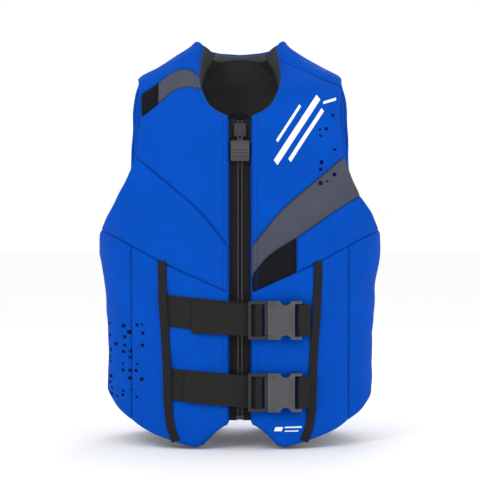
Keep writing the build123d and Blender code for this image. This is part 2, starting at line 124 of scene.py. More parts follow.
def curved(points, count=240):
    # natural cubic through the points, by distance between them
    p = np.asarray(points, float)
    d = runAlong(p)
    n, h = len(p), np.diff(d)
    a = np.eye(n)
    for i in range(1, n - 1):
        a[i, i - 1:i + 2] = h[i - 1], 2 * (h[i - 1] + h[i]), h[i]
    rise = np.diff(p, axis=0) / h[:, None]
    bend = np.linalg.solve(a, np.vstack([0 * p[:1], 6 * np.diff(rise, axis=0), 0 * p[:1]]))
    s = np.linspace(0, d[-1], 4 * count)
    i = np.clip(np.searchsorted(d, s) - 1, 0, n - 2)
    u, w = (s - d[i])[:, None], h[i][:, None]
    line = p[i] + u * (rise[i] - w * (2 * bend[i] + bend[i + 1]) / 6)
    line = line + u ** 2 * bend[i] / 2 + u ** 3 * (bend[i + 1] - bend[i]) / (6 * w)
    return evenly(line, count)


def straight(*points):
    return evenly(np.asarray(points, float), 240)


def shareAt(line):
    # the share of a quarter's length at which the oval reaches that far sideways
    half = smoothThrough(line[:, 1], vestForm["height"], vestForm["half"])
    return np.interp(np.clip(np.abs(line[:, 0]) / half, 0, 1), ovalAcross, ovalAlong)


def inFront(line, hand=1):  # hand 1 is the wearer's left
    return np.stack([hand * (2 - np.sign(line[:, 0]) * shareAt(line)), line[:, 1]], -1)


def behind(line):
    return np.stack([np.sign(line[:, 0]) * shareAt(line), line[:, 1]], -1)


flat = np.array([vestForm["quarterGirth"], 1.0])


def meet(one, two):
    # where the first line crosses the second, as an index along the first: the first hit of all step pairs
    p, r = one[:-1, None] * flat, np.diff(one, axis=0)[:, None] * flat
    s, w = two[None, :-1] * flat, np.diff(two, axis=0)[None] * flat
    turn = r[..., 0] * w[..., 1] - r[..., 1] * w[..., 0]
    turn = np.where(np.abs(turn) < 1e-12, np.nan, turn)
    gap = s - p
    a = (gap[..., 0] * w[..., 1] - gap[..., 1] * w[..., 0]) / turn
    b = (gap[..., 0] * r[..., 1] - gap[..., 1] * r[..., 0]) / turn
    small = 1e-6
    hits = np.argwhere((a >= -small) & (a <= 1 + small) & (b >= -small) & (b <= 1 + small))
    i, j = hits[0]
    return i + float(a[i, j])


def piece(line, start, end):
    # the stretch of a line between two places on it, in that order
    back = start > end
    low, high = min(start, end), max(start, end)
    marks = np.arange(len(line))
    want = np.r_[low, marks[(marks > low + 1e-6) & (marks < high - 1e-6)], high]
    part = np.stack([np.interp(want, marks, c) for c in line.T], -1)
    return part[::-1] if back else part


def upTo(line, end):
    # the stretch before the line crosses another; beyond is the rest, between runs from cross to cross
    return piece(line, 0, meet(line, end))


def beyond(line, start):
    return piece(line, meet(line, start), len(line) - 1)


def between(line, start, end):
    return piece(line, meet(line, start), meet(line, end))


def joined(one, two):
    return np.vstack([upTo(one, two), beyond(two, one)[1:]])


outline = {  # half outlines and seams, as (sideways, up)
    "zip": 14.5,
    "sideFront": 133,
    "sideBack": 155,
    "stripeSplit": 68,
    "shoulderSplit": 101,
    "armFront": [(179, 261), (156, 295), (140, 325), (126, 364), (122, 400), (124, 432), (129, 457)],
    "armBack": [(179, 261), (165, 277), (152, 299), (146, 330), (143, 368), (141, 405), (137, 438),
                (129, 457)],
    "neck": [(0, 397), (25, 407), (36, 415), (44, 429), (50, 446), (51, 478), (50.5, 500), (50, 509)],
    "hemFront": [(0, 33), (14, 30.5), (26, 24), (37, 14.5), (47, 5.5), (53, 3.4), (62, 4.2), (80, 9),
                 (115, 21), (141, 36), (157, 51), (167, 68)],
    "hemBack": [(0, 72), (10, 66), (17, 54), (23, 34), (28, 14), (33, 5), (38, 3.2), (62, 3.2), (88, 6.8),
                (113, 15.5), (137, 37), (152, 56), (167, 68)],
    "belly": [(-20, 174), (19, 191), (50, 205), (97, 226), (133, 245), (178, 266), (220, 283)],
    "chest": [(-20, 214), (17, 248), (43, 280), (85, 318), (128, 354), (180, 396), (220, 428)],
    "stripeLow": [(-20, 180), (17, 212), (30, 228), (66, 253), (110, 283), (148, 306), (210, 338)],
    "shoulderHigh": [(-20, 425), (20, 440), (52, 456), (64, 464), (76, 463), (103, 445), (121, 433),
                     (160, 405), (220, 365)],
    "shoulderLow": [(-20, 420), (20, 430), (50, 437), (66, 439), (78, 436), (100, 419), (124, 401),
                    (160, 376), (220, 336)],
    "shoulderSeam": [(-20, 505), (20, 489), (61, 470), (105, 450), (128, 441), (160, 424), (220, 395)],
    "yoke": [(-220, 283), (-150, 307), (-107, 319), (-60, 327), (0, 330), (60, 327), (107, 319),
             (150, 307), (220, 283)],
    "crossLow": [(-170, 100), (-140, 142), (-115, 172), (-98, 189), (-46.5, 227)],
    "crossTop": [(-46.5, 227), (105, 340)],
    "crossHigh": [(-111.5, 232), (-58, 278), (-15.5, 329), (-6, 342)],
    "crossEnd": [(-170, 108), (-156, 148), (-141, 188), (-125, 219), (-111.5, 232)],
    "crossDivide": [(-111.5, 232), (-46.5, 227)],
}

seams = {}
hands = (("Left", "left", 1), ("Right", "right", -1))
for side, _, hand in hands:
    for name in ("neck", "belly", "chest", "stripeLow", "shoulderHigh", "shoulderLow", "shoulderSeam",
                 "armFront"):
        seams[name + side] = inFront(curved(outline[name]), hand)
    for name in ("zip", "sideFront", "stripeSplit", "shoulderSplit"):
        seams[name + side] = inFront(straight((outline[name], -14), (outline[name], 500)), hand)
    seams["inner" + side] = joined(seams["zip" + side], seams["neck" + side])
    mirrored = np.array([hand, 1])
    upright = straight((outline["sideBack"], -14), (outline["sideBack"], 400))
    seams["sideBack" + side] = behind(upright * mirrored)
    seams["armBack" + side] = behind(curved(outline["armBack"]) * mirrored)
    hemBehind = behind(curved(outline["hemBack"], 480) * mirrored)
    hemBehind[0, 0] = 0
    seams["hemBack" + side] = hemBehind
    seams["hem" + side] = np.vstack([inFront(curved(outline["hemFront"], 480), hand), hemBehind[::-1]])
    seams["flank" + side] = joined(seams["sideBack" + side], seams["armBack" + side])
    top = joined(seams["belly" + side], seams["armFront" + side][::-1])
    seams["underArm" + side] = np.vstack([top, seams["armBack" + side]])
seams["hemBackWhole"] = np.vstack([seams["hemBackRight"][::-1], seams["hemBackLeft"][1:]])
for name in ("yoke", "crossLow", "crossHigh", "crossEnd"):
    seams[name] = behind(curved(outline[name]))
for name in ("crossTop", "crossDivide"):
    seams[name] = behind(straight(*outline[name]))


def lengthOf(line):
    return np.linalg.norm(np.diff(line * flat, axis=0), axis=1).sum()


def sewnSeams():
    # only what is sewn: fronts above the hem, the side seams under the arm, the back below the yoke
    whole = ("bellyLeft", "bellyRight", "chestLeft", "chestRight", "stripeLowLeft", "sideBackLeft",
             "sideBackRight", "yoke", "shoulderSeamLeft", "shoulderHighRight", "shoulderLowRight", "crossLow",
             "crossEnd", "crossDivide")
    ended = (("sideFrontLeft", "bellyLeft"), ("sideFrontRight", "bellyRight"), ("crossTop", "yoke"),
             ("crossHigh", "yoke"))
    held = (("stripeSplitLeft", "bellyLeft", "stripeLowLeft"),
            ("shoulderSplitRight", "shoulderLowRight", "shoulderHighRight"))
    sewn = [seams[name] for name in whole] + [upTo(seams[name], seams[end]) for name, end in ended]
    return sewn + [between(*(seams[name] for name in names)) for names in held]


def stretchesOf(sets, pitch=4.0):
    # short straight stretches along some lines, as starts and steps on the unrolled form
    bits = [evenly(line * flat, max(2, int(lengthOf(line) / pitch))) for line in sets]
    return np.vstack([bit[:-1] for bit in bits]), np.vstack([np.diff(bit, axis=0) for bit in bits])


seamStretches = stretchesOf(sewnSeams())
edgeStretches = stretchesOf([seams[name + side] for name in ("armFront", "armBack", "hem", "inner")
                             for side in ("Left", "Right")])


def nearest(around, height, stretches):
    # distance to the closest stretch: the place's foot on each, kept between the stretch's ends
    starts, steps = stretches
    square = np.maximum((steps ** 2).sum(-1), 1e-12)
    spots = np.stack([np.ravel(around) * flat[0], np.ravel(height)], -1)
    found = []
    for block in np.array_split(spots, max(1, len(spots) // 1500)):
        gap = block[:, None] - starts[None]
        share = np.clip((gap * steps).sum(-1) / square, 0, 1)
        found.append(np.sqrt(((gap - share[..., None] * steps) ** 2).sum(-1).min(1)))
    return np.concatenate(found).reshape(np.shape(around))


# how far the fabric stands off the form: soft crown, pinched seams, rolled edges, belts pulled in
puff = {
    "crown": 3.0, "crownReach": 18, "groove": 1.3, "grooveWidth": 1.5, "edgeRadius": 5.0, "edgeDrop": 3.2,
    "ripple": 0.30, "ripples": 16,
    "beltDip": 1.5, "beltHalf": 25, "beltPress": 0.75, "beltReach": 98, "beltFade": 7,
}
belts = {
    "upper": {"z": 156.0, "rise": 11.0, "tailStart": -57.0, "tailShift": -3.0},
    "lower": {"z": 69.5, "rise": 9.0, "tailStart": -66.0, "tailShift": 1.5},
}
beltEnds = {"start": -90.0, "end": 20.0}
waveLength = rng.uniform(26, 95, puff["ripples"])
waveTurn = rng.normal(0.5 * np.pi, 0.75, puff["ripples"])
wavePhase = rng.uniform(0, 2 * np.pi, puff["ripples"])


def rippled(around, height):
    # sum of sines in mixed directions, weaker the shorter they are
    x, z = np.asarray(around) * flat[0], np.asarray(height)
    return puff["ripple"] * sum(
        long / 60 * np.sin(2 * np.pi * (x * np.cos(turn) + z * np.sin(turn)) / long + phase)
        for long, turn, phase in zip(waveLength, waveTurn, wavePhase))


def beltHeight(belt, x):
    b = belts[belt]
    share = np.clip((beltEnds["end"] - x) / (beltEnds["end"] - beltEnds["start"]), 0, 1.05)
    return b["z"] + b["rise"] * share


def standOff(around, height):
    around = np.where(np.abs(around) > 2, around - 4 * np.sign(around), around)
    seam = nearest(around, height, seamStretches)
    edge = nearest(around, height, edgeStretches)
    crown = 1 - np.exp(-seam / puff["crownReach"])
    lift = puff["crown"] * crown - puff["groove"] * np.exp(-(seam / puff["grooveWidth"]) ** 2)
    lift = lift + rippled(around, height) * crown
    roll = np.clip(1 - edge / puff["edgeRadius"], 0, 1)
    lift = lift - puff["edgeDrop"] * (1 - np.sqrt(1 - roll ** 2))
    x = formPoint(around, height)[..., 0]
    held = 1 / (1 + np.exp((np.abs(x) - puff["beltReach"]) / puff["beltFade"])) * (np.abs(around) > 1)
    for belt in belts:
        dip = np.exp(-((height - beltHeight(belt, x)) / puff["beltHalf"]) ** 4)
        lift = lift * (1 - puff["beltPress"] * dip * held) - puff["beltDip"] * dip * held
    return lift, seam


# meshes
# nearSeam is the distance to the nearest seam, which the knit uses to place its painted seam shade
farFromSeam = 9.0  # what the nearSeam attribute holds on pieces without a seam


def newObject(name, verts, faces, uv=None, smooth=40, attribute=None):
    mesh = bpy.data.meshes.new(name)
    mesh.from_pydata((np.asarray(verts) * mm).tolist(), [], [list(f) for f in faces])
    corners = np.empty(len(mesh.loops), np.int32)
    mesh.loops.foreach_get("vertex_index", corners)
    if uv is not None:
        layer = mesh.uv_layers.new(name="UVMap")
        layer.data.foreach_set("uv", (np.asarray(uv)[corners] * mm).astype(np.float32).ravel())
    if attribute is not None:
        values = mesh.attributes.new("nearSeam", "FLOAT", "POINT")
        values.data.foreach_set("value", np.asarray(attribute, np.float32))
    bm = bmesh.new()
    bm.from_mesh(mesh)
    bmesh.ops.recalc_face_normals(bm, faces=bm.faces)
    bm.to_mesh(mesh)
    bm.free()
    mesh.shade_smooth()
    mesh.set_sharp_from_angle(angle=np.radians(smooth))
    mesh.validate()
    thing = bpy.data.objects.new(name, mesh)
    bpy.context.scene.collection.objects.link(thing)
    return thing


def gridFaces(rows, columns, start=0, roundRows=False, roundColumns=False):
    i = np.arange(rows if roundRows else rows - 1)[:, None]
    j = np.arange(columns if roundColumns else columns - 1)[None]
    i2, j2 = (i + 1) % rows, (j + 1) % columns
    quad = np.stack([i * columns + j, i * columns + j2, i2 * columns + j2, i2 * columns + j], -1)
    return (quad + start).reshape(-1, 4)


def tubeFaces(rows, columns, start=0):
    # a grid closed round its columns, with a flat face at each end
    last = start + (rows - 1) * columns
    ends = [list(range(start, start + columns)), list(range(last, last + columns))]
    return gridFaces(rows, columns, start, roundColumns=True).tolist() + ends


def merged(parts):
    # several (verts, faces, uv) as one, each part's faces counted on from the last part's
    verts, faces, uvs = zip(*parts)
    starts = np.cumsum([0] + [len(v) for v in verts])
    return np.vstack(verts), np.vstack([f + start for f, start in zip(faces, starts)]), np.vstack(uvs)


def closedShell(outer, inner):
    # two grids of the same size, joined round their four edges
    rows, columns = outer.shape[:2]
    top = gridFaces(rows, columns)
    ring = np.r_[np.arange(columns), np.arange(2 * columns - 1, rows * columns, columns),
                 np.arange(rows * columns - 2, (rows - 1) * columns - 1, -1),
                 np.arange((rows - 2) * columns, 0, -columns)]
    nextOne = np.roll(ring, -1)
    lower = rows * columns
    rim = np.stack([ring, ring + lower, nextOne + lower, nextOne], -1)
    verts = np.vstack([outer.reshape(-1, 3), inner.reshape(-1, 3)])
    return verts, np.vstack([top, top[:, ::-1] + lower, rim])


def tightened(count, bunch=0.35):
    # places from 0 to 1 that draw together towards both ends
    s = np.linspace(0, 1, count)
    return (1 - bunch) * s + bunch * (1 - np.cos(np.pi * s)) / 2


def byLength(line, places):
    along = runAlong(line * flat)
    return np.stack([np.interp(places * along[-1], along, c) for c in line.T], -1)


panelMesh = {"spacing": 2.3, "thickness": 2.4, "sideThickness": 4.5}


def filled(low, high, inner, outer, u, v):
    # Coons patch: the two ruled surfaces between opposite edges, added, less the one through the four corners
    a, b = low[None], high[None]
    c, d = inner[:, None], outer[:, None]
    u, v = u[None, :, None], v[:, None, None]
    corners = (1 - v) * ((1 - u) * low[0] + u * low[-1]) + v * ((1 - u) * high[0] + u * high[-1])
    return (1 - v) * a + v * b + (1 - u) * c + u * d - corners


def patch(low, high, inner, outer, spacing=None):
    spacing = spacing or panelMesh["spacing"]
    across = max(8, int(max(lengthOf(low), lengthOf(high)) / spacing))
    upwards = max(8, int(max(lengthOf(inner), lengthOf(outer)) / spacing))
    u, v = tightened(across), tightened(upwards)
    return filled(byLength(low, u), byLength(high, u), byLength(inner, v), byLength(outer, v), u, v)


def cutPatch(low, high, inner, outer, spacing=None):
    return patch(between(low, inner, outer), between(high, inner, outer), between(inner, low, high),
                 between(outer, low, high), spacing)


def betweenLifts(grid, outer, inner):
    # a grid closed between two lifts off the form, with its place on the unrolled form as uv
    q, z = grid[..., 0], grid[..., 1]
    uv = (grid * flat).reshape(-1, 2)
    return *closedShell(lifted(q, z, outer), lifted(q, z, inner)), np.vstack([uv, uv])


def panelOf(edges, side="", spacing=None):
    # a patch between the four named seams, in the order low, high, inner and outer
    return cutPatch(*(seams[edge + side] for edge in edges.split()), spacing)


def shellPanel(name, grid, thick=None):
    thick = thick or panelMesh["thickness"]
    lift, seam = standOff(grid[..., 0], grid[..., 1])
    near = np.r_[seam.ravel(), seam.ravel()]
    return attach(newObject(name, *betweenLifts(grid, lift, lift - thick), attribute=near), "vest")


# materials
class Shading:
    # a material and short ways to wire it: an input takes a number, a colour or another node's output
    def __init__(self, name, colour, rough, **sockets):
        self.material = bpy.data.materials.new(name)
        self.material.use_nodes = True
        self.tree = self.material.node_tree
        self.shader = self.tree.nodes["Principled BSDF"]
        for socket, value in {"Base Color": colour, "Roughness": rough, **sockets}.items():
            self.feed(self.shader, socket, value)

    def feed(self, node, socket, value):
        if isinstance(value, bpy.types.NodeSocket):
            self.tree.links.new(value, node.inputs[socket])
        else:
            node.inputs[socket].default_value = (*value, 1) if isinstance(value, tuple) else value

    def add(self, kind, sockets=None, **settings):
        node = self.tree.nodes.new(kind)
        for key, value in settings.items():
            setattr(node, key, value)
        for socket, value in (sockets or {}).items():
            self.feed(node, socket, value)
        return node

    def cloth(self):
        return self.add("ShaderNodeUVMap", uv_map="UVMap").outputs["UV"]

    def place(self):
        return self.add("ShaderNodeTexCoord").outputs["Object"]

    def math(self, operation, one, two, clamp=False):
        return self.add("ShaderNodeMath", {0: one, 1: two}, operation=operation, use_clamp=clamp).outputs[0]

    def mixed(self, factor, one, two):
        return self.add("ShaderNodeMix", {0: factor, 6: one, 7: two}, data_type="RGBA").outputs[2]

    def ribs(self, vector, pitch, direction="X", distortion=0.0):
        # bands with that pitch in metres: a wave texture repeats every pi/10 at scale 1
        sockets = {"Vector": vector, "Scale": np.pi / 10 / pitch, "Distortion": distortion}
        return self.add("ShaderNodeTexWave", sockets, bands_direction=direction).outputs["Fac"]

    def noise(self, vector, size, detail=3.0):
        sockets = {"Vector": vector, "Scale": 1 / size, "Detail": detail}
        return self.add("ShaderNodeTexNoise", sockets).outputs["Fac"]

    def bumped(self, height, strength, distance):
        bump = self.add("ShaderNodeBump", {"Height": height, "Strength": strength, "Distance": distance})
        self.feed(self.shader, "Normal", bump.outputs["Normal"])


def darker(colour, share):
    return tuple(c * share for c in colour)


# the knit's pitches and noise sizes; seamWidth and seamShade set how wide and how dark the painted seam shade
# is
knit = {
    "wale": 0.0011, "course": 0.0014, "mottle": 0.045, "fuzz": 0.0035, "seamWidth": 1.7, "seamShade": 0.62,
    "sheen": {"Sheen Weight": 0.012, "Sheen Roughness": 0.45, "Specular IOR Level": 0.03},
}


def knitMaterial(name, colour, rough=0.8, worn=0.12):
    # jersey: wales and courses as a bump, soft mottling, rubbed lighter patches, and painted shade darkening
    # the fabric along each seam groove
    m = Shading(name, colour, rough, **knit["sheen"])
    cloth, place = m.cloth(), m.place()
    loops = m.math("MULTIPLY", m.ribs(cloth, knit["wale"]), m.ribs(cloth, knit["course"], "Y"))
    soft, fine = m.noise(place, knit["mottle"]), m.noise(place, knit["fuzz"], 4)
    patchy = m.math("MULTIPLY", m.math("SUBTRACT", soft, 0.42), 2.2, True)
    base = m.mixed(patchy, darker(colour, 0.90), darker(colour, 1.06))
    rubbed = tuple(min(1, c * 1.3 + 0.003) for c in colour)
    base = m.mixed(m.math("MULTIPLY", fine, worn, True), base, rubbed)
    # painted shade: within seamWidth of a seam the colour is mixed towards a much darker blue, as the shade
    # in the seam groove
    seam = m.add("ShaderNodeAttribute", attribute_name="nearSeam").outputs["Fac"]
    line = m.math("SUBTRACT", 1, m.math("DIVIDE", seam, knit["seamWidth"]), True)
    base = m.mixed(m.math("MULTIPLY", line, knit["seamShade"]), base, darker(colour, 0.22))
    m.feed(m.shader, "Base Color", base)
    m.feed(m.shader, "Roughness", m.math("ADD", rough - 0.08, m.math("MULTIPLY", fine, 0.16)))
    m.bumped(m.math("ADD", loops, m.math("MULTIPLY", fine, 0.7)), 0.30, 0.0004)
    return m.material


def wovenMaterial(name, colour, pitch=0.0016, cross=0.0009, strength=0.7):
    # webbing and tape: ribs across, finer yarns along, and a little dust
    m = Shading(name, colour, 0.62, **{"Sheen Weight": 0.03, "Specular IOR Level": 0.15})
    cloth, place = m.cloth(), m.place()
    yarn = m.math("MULTIPLY", m.ribs(cloth, cross, "Y", 0.2), 0.5)
    weave = m.math("ADD", m.ribs(cloth, pitch, "X", 0.4), yarn)
    base = m.mixed(m.math("MULTIPLY", weave, 0.6, True), darker(colour, 0.55), darker(colour, 1.5))
    dust = m.math("MULTIPLY", m.noise(place, 0.006, 4), 0.22, True)
    m.feed(m.shader, "Base Color", m.mixed(dust, base, tuple(c + 0.02 for c in colour)))
    m.bumped(weave, strength, 0.0004)
    return m.material


def mouldedMaterial(name, colour, rough, grain=0.0012, strength=0.16, level=0.5, metallic=0.0):
    # moulded plastic, rubber or enamel: fine grain, patchy gloss, and edges rubbed paler
    m = Shading(name, colour, rough, **{"Specular IOR Level": level, "Metallic": metallic})
    place = m.place()
    broad = m.noise(place, 0.018, 3)
    worn = m.add("ShaderNodeNewGeometry").outputs["Pointiness"]
    edge = m.math("MULTIPLY", m.math("SUBTRACT", worn, 0.53), 7.0, True)
    base = m.mixed(m.math("MULTIPLY", broad, 0.5), darker(colour, 0.8), darker(colour, 1.25))
    base = m.mixed(m.math("MULTIPLY", edge, 0.4), base, tuple(c * 1.6 + 0.03 for c in colour))
    m.feed(m.shader, "Base Color", base)
    m.feed(m.shader, "Roughness", m.math("ADD", rough - 0.06, m.math("MULTIPLY", broad, 0.14)))
    m.bumped(m.noise(place, grain, 5), strength, 0.00025)
    return m.material


colours = {
    "blue": (0.0010, 0.071, 0.47), "grey": (0.072, 0.078, 0.104), "black": (0.0095, 0.0105, 0.0145),
    "lining": (0.046, 0.047, 0.049), "webbing": (0.0125, 0.0115, 0.0118), "tape": (0.0085, 0.0085, 0.0105),
    "plastic": (0.052, 0.053, 0.059), "frame": (0.016, 0.017, 0.020), "zip": (0.010, 0.010, 0.012),
    "rubber": (0.034, 0.034, 0.037), "metal": (0.034, 0.034, 0.037),
    "foam": (0.030, 0.032, 0.036), "print": (0.86, 0.87, 0.88), "fleck": (0.0012, 0.014, 0.085),
}
blueKnit = knitMaterial("blueKnit", colours["blue"])
greyKnit = knitMaterial("greyKnit", colours["grey"])
blackKnit = knitMaterial("blackKnit", colours["black"], worn=0.2)
liningKnit = knitMaterial("liningKnit", colours["lining"], rough=0.88)
webbingWeave = wovenMaterial("webbingWeave", colours["webbing"])
bindingWeave = wovenMaterial("bindingWeave", colours["tape"], 0.0013, strength=0.4)
tapeWeave = wovenMaterial("tapeWeave", colours["tape"], 0.0012, cross=0.0012, strength=0.5)
bucklePlastic = mouldedMaterial("bucklePlastic", colours["plastic"], 0.27, level=0.6)
framePlastic = mouldedMaterial("framePlastic", colours["frame"], 0.34, level=0.35)
zipPlastic = mouldedMaterial("zipPlastic", colours["zip"], 0.36)
tabRubber = mouldedMaterial("tabRubber", colours["rubber"], 0.62, 0.0007, 0.3)
sliderMetal = mouldedMaterial("sliderMetal", colours["metal"], 0.3, level=0.4, metallic=0.5)
padFoam = mouldedMaterial("padFoam", colours["foam"], 0.9, 0.0015, 0.8)
printFilm = mouldedMaterial("printFilm", colours["print"], 0.55, 0.0009, 0.25)
fleckFilm = knitMaterial("fleckFilm", colours["fleck"])


def finish(thing, material, slot, *nodes):
    thing.data.materials.clear()
    thing.data.materials.append(material)
    if nodes:
        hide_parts(*nodes)
    return thing


blue, grey, black = (blueKnit, "blue_knit"), (greyKnit, "grey_knit"), (blackKnit, "black_knit")


def dressed(name, grid, look, node, thick=None):
    return finish(shellPanel(name, grid, thick), *look, node)


# outer panels, each with its four edges, its side, its look and the node it stands for
panels = {
    "chest_left": ("chest shoulderSeam inner armFront", "Left", blue, "shell_chest_left"),
    "chest_stripe_grey": ("stripeLow chest zip armFront", "Left", grey, "stripe_chest_grey"),
    "chest_stripe_black": ("belly stripeLow zip stripeSplit", "Left", black, "stripe_chest_black"),
    "rib_left": ("belly stripeLow stripeSplit armFront", "Left", blue, "shell_rib_left"),
    "chest_right": ("chest shoulderLow inner armFront", "Right", blue, "shell_chest_right"),
    "shoulder_stripe_grey": ("shoulderLow shoulderHigh inner shoulderSplit", "Right", grey,
                             "stripe_shoulder_grey"),
    "shoulder_stripe_black": ("shoulderLow shoulderHigh shoulderSplit armFront", "Right", black,
                              "stripe_shoulder_black"),
    "rib_right": ("belly chest zip armFront", "Right", blue, "shell_rib_right"),
}
for name, (edges, side, look, node) in panels.items():
    dressed(name, panelOf(edges, side), look, node)
for side, word, _ in hands:
    dressed("belly_" + word, panelOf("hem belly zip sideFront", side), blue, "shell_belly_" + word)
    dressed("side_" + word, panelOf("hem underArm sideFront sideBack", side), blue, "shell_side_" + word,
            panelMesh["sideThickness"])
print("front panels done")

yoke, sideRight, flankRight = seams["yoke"], seams["sideBackRight"], seams["flankRight"]
crossLow, crossTop, crossHigh, crossEnd = (seams["cross" + name] for name in ("Low", "Top", "High", "End"))
highUp = upTo(crossHigh, yoke)
dressed("back_stripe_grey",
        patch(seams["crossDivide"], between(yoke, crossHigh, crossTop), highUp, upTo(crossTop, yoke)), grey,
        "stripe_back_grey")
endUp = beyond(crossEnd, sideRight)
dressed("back_stripe_black",
        patch(between(sideRight, crossEnd, crossLow), seams["crossDivide"], endUp,
              beyond(crossLow, sideRight)), black, "stripe_back_black")
dressed("back_flank",
        patch(endUp, between(yoke, flankRight, crossHigh), between(flankRight, crossEnd, yoke), highUp), blue,
        "shell_back_flank")
centreTop = joined(np.vstack([crossLow, crossTop[1:]]), yoke)
dressed("back_centre", cutPatch(seams["hemBackWhole"], centreTop, sideRight, seams["flankLeft"]), blue,
        "shell_back_centre")
print("back panels done")

# back yoke, from the yoke seam to the collar, and an ear over each shoulder to the front seams
collar = {"top": 501.0, "dip": 4.0, "dipReach": 0.55, "ridge": 456.9}


def ridge(hand):
    return straight((hand, collar["ridge"]), (hand, collar["top"]))


def collarLine(start, end):
    # the collar's top edge, dipping a little at the centre back
    q = np.linspace(start, end, 240)
    return np.stack([q, collar["top"] - collar["dip"] * np.exp(-(q / collar["dipReach"]) ** 2)], -1)


def atCollar(side):
    # where the neck line reaches the collar's top
    line = seams["inner" + side]
    return np.interp(collar["top"], line[:, 1], np.arange(len(line)))


def overShoulder(arm, seam, hand):
    # an armhole's edge above a seam, and on up the ridge to the collar
    return np.vstack([beyond(arm, seam), ridge(hand)[1:]])


def earGrid(side, hand, seam, spacing=None):
    seam, inner, arm = seams[seam], seams["inner" + side], seams["armFront" + side]
    up = piece(inner, meet(inner, seam), atCollar(side))
    return patch(between(seam, inner, arm), collarLine(up[-1, 0], hand), up, overShoulder(arm, seam, hand),
                 spacing)


def yokeGrid(spacing=None):
    armRight, armLeft = seams["armBackRight"], seams["armBackLeft"]
    return patch(between(yoke, armRight, armLeft), collarLine(-1, 1), overShoulder(armRight, yoke, -1),
                 overShoulder(armLeft, yoke, 1), spacing)


earGrids = {"left": ("Left", 1, "shoulderSeamLeft"), "right": ("Right", -1, "shoulderHighRight")}
yokePanels = [shellPanel("back_yoke", yokeGrid())]
yokePanels += [shellPanel("shoulder_ear_" + word, earGrid(*spot)) for word, spot in earGrids.items()]
for panel in yokePanels:
    finish(panel, *blue, "shell_back_yoke")
print("yoke done")


# linings and foam pads, as further layers on the same grids
def layered(name, grids, outerLift, innerLift, roundness=0.0, inset=0.0):
    # each grid is drawn in from its border, then closed between two lifts that meet softly round the border
    half = (outerLift - innerLift) / 2
    parts = []
    for grid in grids:
        border = [grid[0], grid[-1], grid[:, 0], grid[:, -1]]
        away = nearest(grid[..., 0], grid[..., 1], stretchesOf(border, 8.0))
        if inset:
            spots = (grid * flat).reshape(-1, 2)
            span = np.ptp(spots, axis=0).min() / 2
            grid = grid + (spots.mean(0) / flat - grid) * (inset / span)
        q, z = grid[..., 0], grid[..., 1]
        if roundness:
            sink, wobble = half * (1 - np.sqrt(1 - np.clip(1 - away / roundness, 0, 0.97) ** 2)), 0
        else:
            sink, wobble = 0 * q, linings["wave"] * rippled(q, z) * (1 - np.exp(-away / linings["waveReach"]))
        parts.append(betweenLifts(grid, outerLift - sink + wobble, innerLift + sink + wobble))
    whole = merged(parts)
    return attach(newObject(name, *whole, attribute=np.full(len(whole[0]), farFromSeam)), "vest")


pads = {"outer": -3.7, "inner": -23.6, "rounding": 8.0, "inset": 9.0, "spacing": 5.0, "fill": 0.9}
linings = {"outer": -25.0, "inner": -27.4, "wave": 0.8, "waveReach": 12}
topSeam = {"Left": "shoulderSeam", "Right": "shoulderHigh"}
layerGrids = {}
for side, word, _ in hands:
    chest = panelOf(f"belly {topSeam[side]} inner armFront", side, pads["spacing"])
    belly = panelOf("hem belly zip sideFront", side, pads["spacing"])
    layerGrids["foam_chest_" + word] = [chest]
    layerGrids["foam_belly_" + word] = [belly]
    layerGrids["lining_front_" + word] = [chest, belly]
hemWhole, flankLeft = seams["hemBackWhole"], seams["flankLeft"]
lowerBack = patch(between(hemWhole, sideRight, seams["sideBackLeft"]), between(yoke, flankRight, flankLeft),
                  between(flankRight, hemWhole, yoke), between(flankLeft, hemWhole, yoke), pads["spacing"])
yokeGrids = [yokeGrid(pads["spacing"])] + [earGrid(*spot, pads["spacing"]) for spot in earGrids.values()]
layerGrids["foam_back_lower"] = [lowerBack]
layerGrids["foam_back_yoke"] = yokeGrids
layerGrids["lining_back"] = [lowerBack] + yokeGrids
for name, grids in layerGrids.items():
    if name.startswith("foam"):
        pad = layered("pad_" + name[5:], grids, pads["outer"], pads["inner"], pads["rounding"], pads["inset"])
        finish(pad, padFoam, "foam_pad", name)
    else:
        cloth = layered(name + "_cloth", grids, linings["outer"], linings["inner"])
        finish(cloth, liningKnit, "lining_knit", name)
print("pads and linings done")


# swept pieces: a section carried along stations that each have a place and two directions
def swept(name, centres, across, ups, section, closed=False):
    # each place plus the section's two measures along the two directions there
    rows, columns = len(centres), section.shape[-2]
    section = np.broadcast_to(section, (rows, columns, 2))
    verts = centres[:, None] + across[:, None] * section[..., :1] + ups[:, None] * section[..., 1:]
    faces = gridFaces(rows, columns, 0, True, True) if closed else tubeFaces(rows, columns)
    run = np.broadcast_to(runAlong(centres)[:, None], (rows, columns))
    uv = np.stack([run, section[..., 0] + 0.3 * section[..., 1]], -1)
    far = np.full(rows * columns, farFromSeam)
    return newObject(name, verts.reshape(-1, 3), faces, uv.reshape(-1, 2), attribute=far)


def smoothed(values, times=2, closed=True):
    for _ in range(times):
        if closed:
            values = (np.roll(values, 1, 0) + 2 * values + np.roll(values, -1, 0)) / 4
        else:
            inner = (values[:-2] + 2 * values[1:-1] + values[2:]) / 4
            values = np.concatenate([values[:1], inner, values[-1:]])
    return values


rolls = {
    "pitch": 2.6, "proud": 2.6, "sunk": 1.2, "fullness": 0.6, "under": 3.6, "top": 1.7, "turnTop": 4.6,
    "thin": 6.0, "full": 28.3, "thinFront": 258, "thinBack": 300, "linedAbove": 399,
    "zip": 16.5, "zipReach": 16, "zipLow": 34, "zipHigh": 396,
}


